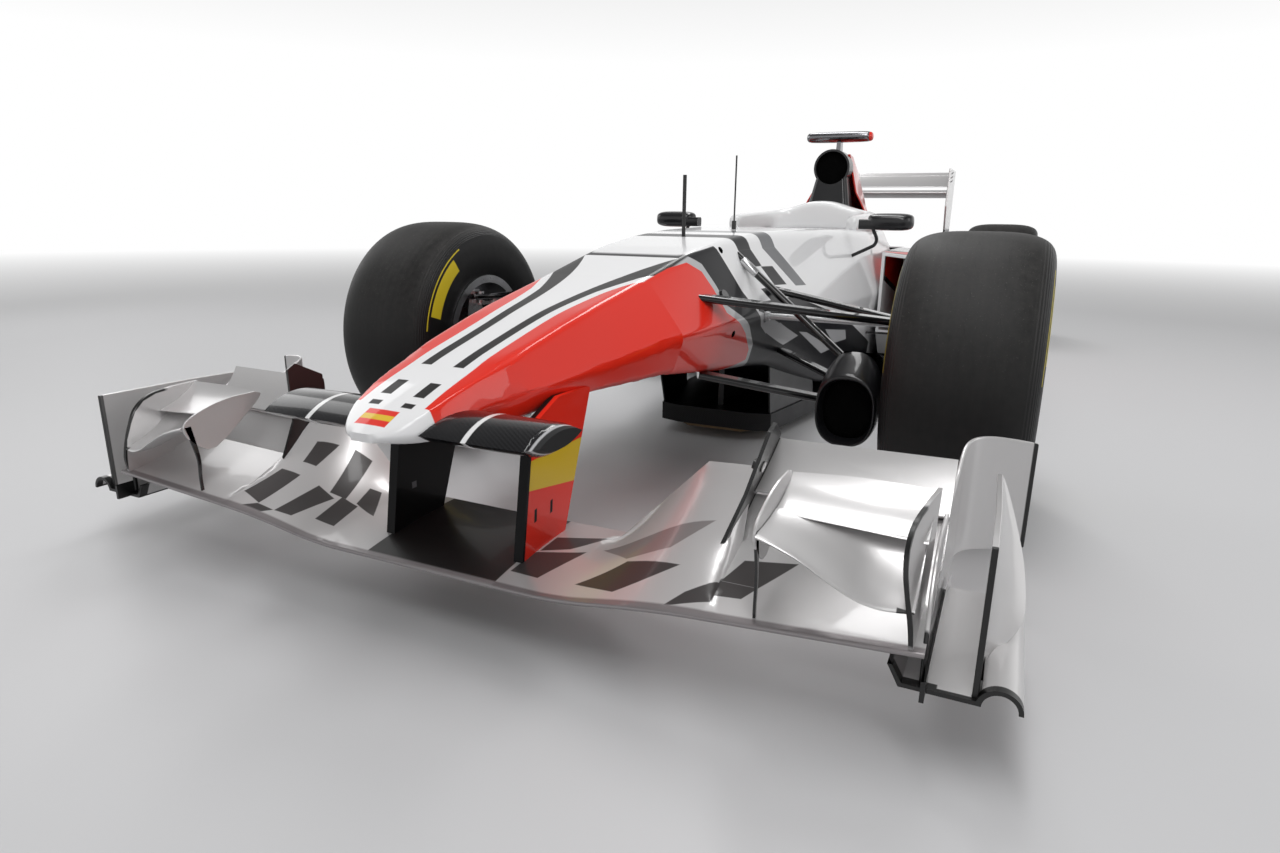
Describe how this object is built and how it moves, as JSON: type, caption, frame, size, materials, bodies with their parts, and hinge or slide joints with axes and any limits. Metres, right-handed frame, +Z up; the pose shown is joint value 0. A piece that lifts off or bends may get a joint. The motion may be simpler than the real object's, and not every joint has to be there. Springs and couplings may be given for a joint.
{
  "type": "open wheel racing car",
  "caption": "Single-seat open wheel racing car with nose and rear wings, steered slick wheels and a hinged rear flap.",
  "frame": {"origin": "on the ground under the middle of the car's overall box", "axes": "+Y runs rearward from nose to tail, +X to the car's left, +Z up"},
  "size_m": [1.8, 4.94, 1.0719],
  "materials": {
    "red_paint": "gloss red paint over composite",
    "white_paint": "gloss white paint over composite",
    "silver_paint": "pearl silver paint over composite",
    "carbon": "lacquered carbon weave",
    "black_plastic": "matt black",
    "tyre": "slick rubber, dusty",
    "wheel_metal": "machined and lacquered",
    "aluminium": "machined",
    "steel": "plain",
    "cast_metal": "plain block",
    "plank_wood": "laminated skid",
    "red_lens": "clear red"
  },
  "bodies": {
    "root": {"nose_cone": "red_paint", "nose_camera_pods": "carbon", "front_wing_pylons": "carbon", "front_wing_main_plane": "silver_paint", "front_wing_flaps": "silver_paint", "front_wing_cascades": "silver_paint", "front_wing_endplates": "silver_paint", "monocoque": "white_paint", "headrest": "white_paint", "seat": "carbon", "steering_mounts": "aluminium", "front_suspension_arms": "carbon", "floor": "carbon", "plank": "plank_wood", "turning_vanes": "carbon", "bargeboards": "carbon", "sidepods": "white_paint", "radiators": "aluminium", "engine_cover": "red_paint", "roll_hoop_intake": "carbon", "camera_bar": "carbon", "antennas": "black_plastic", "mirrors": "carbon", "engine": "cast_metal", "gearbox": "carbon", "exhausts": "steel", "rear_uprights": "aluminium", "rear_suspension_arms": "carbon", "rear_wing_endplates": "silver_paint", "rear_wing_main_plane": "silver_paint", "rear_beam_wing": "carbon", "rain_light": "red_lens"},
    "left_knuckle": {"front_left_upright": "aluminium", "front_left_brake_duct": "carbon"},
    "right_knuckle": {"front_right_upright": "aluminium", "front_right_brake_duct": "carbon"},
    "steering_wheel": {"steering_wheel": "carbon"},
    "steering_rack": {"steering_rack": "steel"},
    "rear_wing_flap": {"rear_wing_flap": "silver_paint"},
    "front_left_wheel": {"front_left_wheel": "wheel_metal", "front_left_tyre": "tyre"},
    "front_right_wheel": {"front_right_wheel": "wheel_metal", "front_right_tyre": "tyre"},
    "rear_left_wheel": {"rear_left_wheel": "wheel_metal", "rear_left_tyre": "tyre", "rear_left_driveshaft": "steel"},
    "rear_right_wheel": {"rear_right_wheel": "wheel_metal", "rear_right_tyre": "tyre", "rear_right_driveshaft": "steel"}
  },
  "joints": [
    {"name": "left_steer", "type": "hinge", "parent": "root", "child": "left_knuckle", "pos_m": [0.632, -1.33, 0.332], "axis": [0, 0, 1], "range_deg": [-16, 16]},
    {"name": "right_steer", "type": "hinge", "parent": "root", "child": "right_knuckle", "pos_m": [-0.632, -1.33, 0.332], "axis": [0, 0, 1], "range_deg": [-16, 16]},
    {"name": "steering_wheel_turn", "type": "hinge", "parent": "root", "child": "steering_wheel", "pos_m": [0, -0.425, 0.56], "axis": [0, 0.9397, 0.342], "range_deg": [-144, 144]},
    {"name": "steering_rack_slide", "type": "slide", "parent": "root", "child": "steering_rack", "axis": [1, 0, 0], "range_m": [-0.0196, 0.0196]},
    {"name": "front_left_wheel_spin", "type": "hinge", "parent": "left_knuckle", "child": "front_left_wheel", "pos_m": [0.7475, -1.33, 0.33], "axis": [1, 0, 0], "continuous": true},
    {"name": "front_right_wheel_spin", "type": "hinge", "parent": "right_knuckle", "child": "front_right_wheel", "pos_m": [-0.7475, -1.33, 0.33], "axis": [1, 0, 0], "continuous": true},
    {"name": "rear_left_wheel_spin", "type": "hinge", "parent": "root", "child": "rear_left_wheel", "pos_m": [0.7125, 1.87, 0.33], "axis": [1, 0, 0], "continuous": true},
    {"name": "rear_right_wheel_spin", "type": "hinge", "parent": "root", "child": "rear_right_wheel", "pos_m": [-0.7125, 1.87, 0.33], "axis": [1, 0, 0], "continuous": true},
    {"name": "rear_flap_tilt", "type": "hinge", "parent": "root", "child": "rear_wing_flap", "pos_m": [0, 2.441, 0.957], "axis": [-1, 0, 0], "range_deg": [0, 14]}
  ],
  "couplings": [
    {"joint": "right_steer", "follows": "left_steer", "ratio": 1},
    {"joint": "steering_wheel_turn", "follows": "left_steer", "ratio": 9},
    {"joint": "steering_rack_slide", "follows": "left_steer", "m_per_rad": -0.07}
  ]
}
